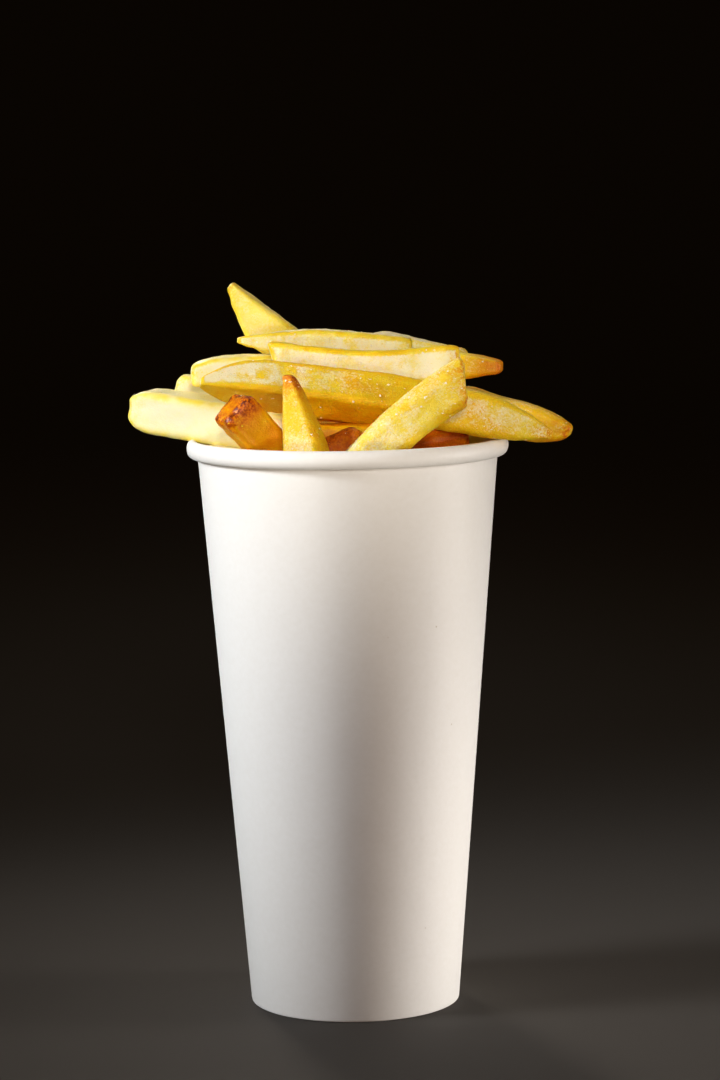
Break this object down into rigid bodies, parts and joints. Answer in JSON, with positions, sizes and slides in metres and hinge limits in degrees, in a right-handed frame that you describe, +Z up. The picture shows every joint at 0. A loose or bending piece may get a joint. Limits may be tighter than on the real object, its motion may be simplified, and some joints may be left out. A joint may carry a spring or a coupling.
{
  "type": "fries in a tall paper cup",
  "caption": "Tall paper cup with a rolled rim, heaped with thick-cut fries that lean and lie across its mouth.",
  "frame": {"origin": "centre of the cup's standing ring, on the surface it stands on, which is the centre of the bottom of the whole object's box", "axes": "+Z up along the cup's axis; -Y towards the front of the heap; the cup's side seam is at +Y; the heap reaches furthest out along X"},
  "size_m": [0.125, 0.0898, 0.2027],
  "materials": {
    "cup_paper": "smooth white coated cup board, satin",
    "fries": "fried potato: pale cream to golden, browned at ends and edges, dry crisp skin with a little oil"
  },
  "bodies": {
    "root": {"cup_sidewall": "cup_paper", "cup_base": "cup_paper", "fries": "fries"}
  },
  "joints": []
}
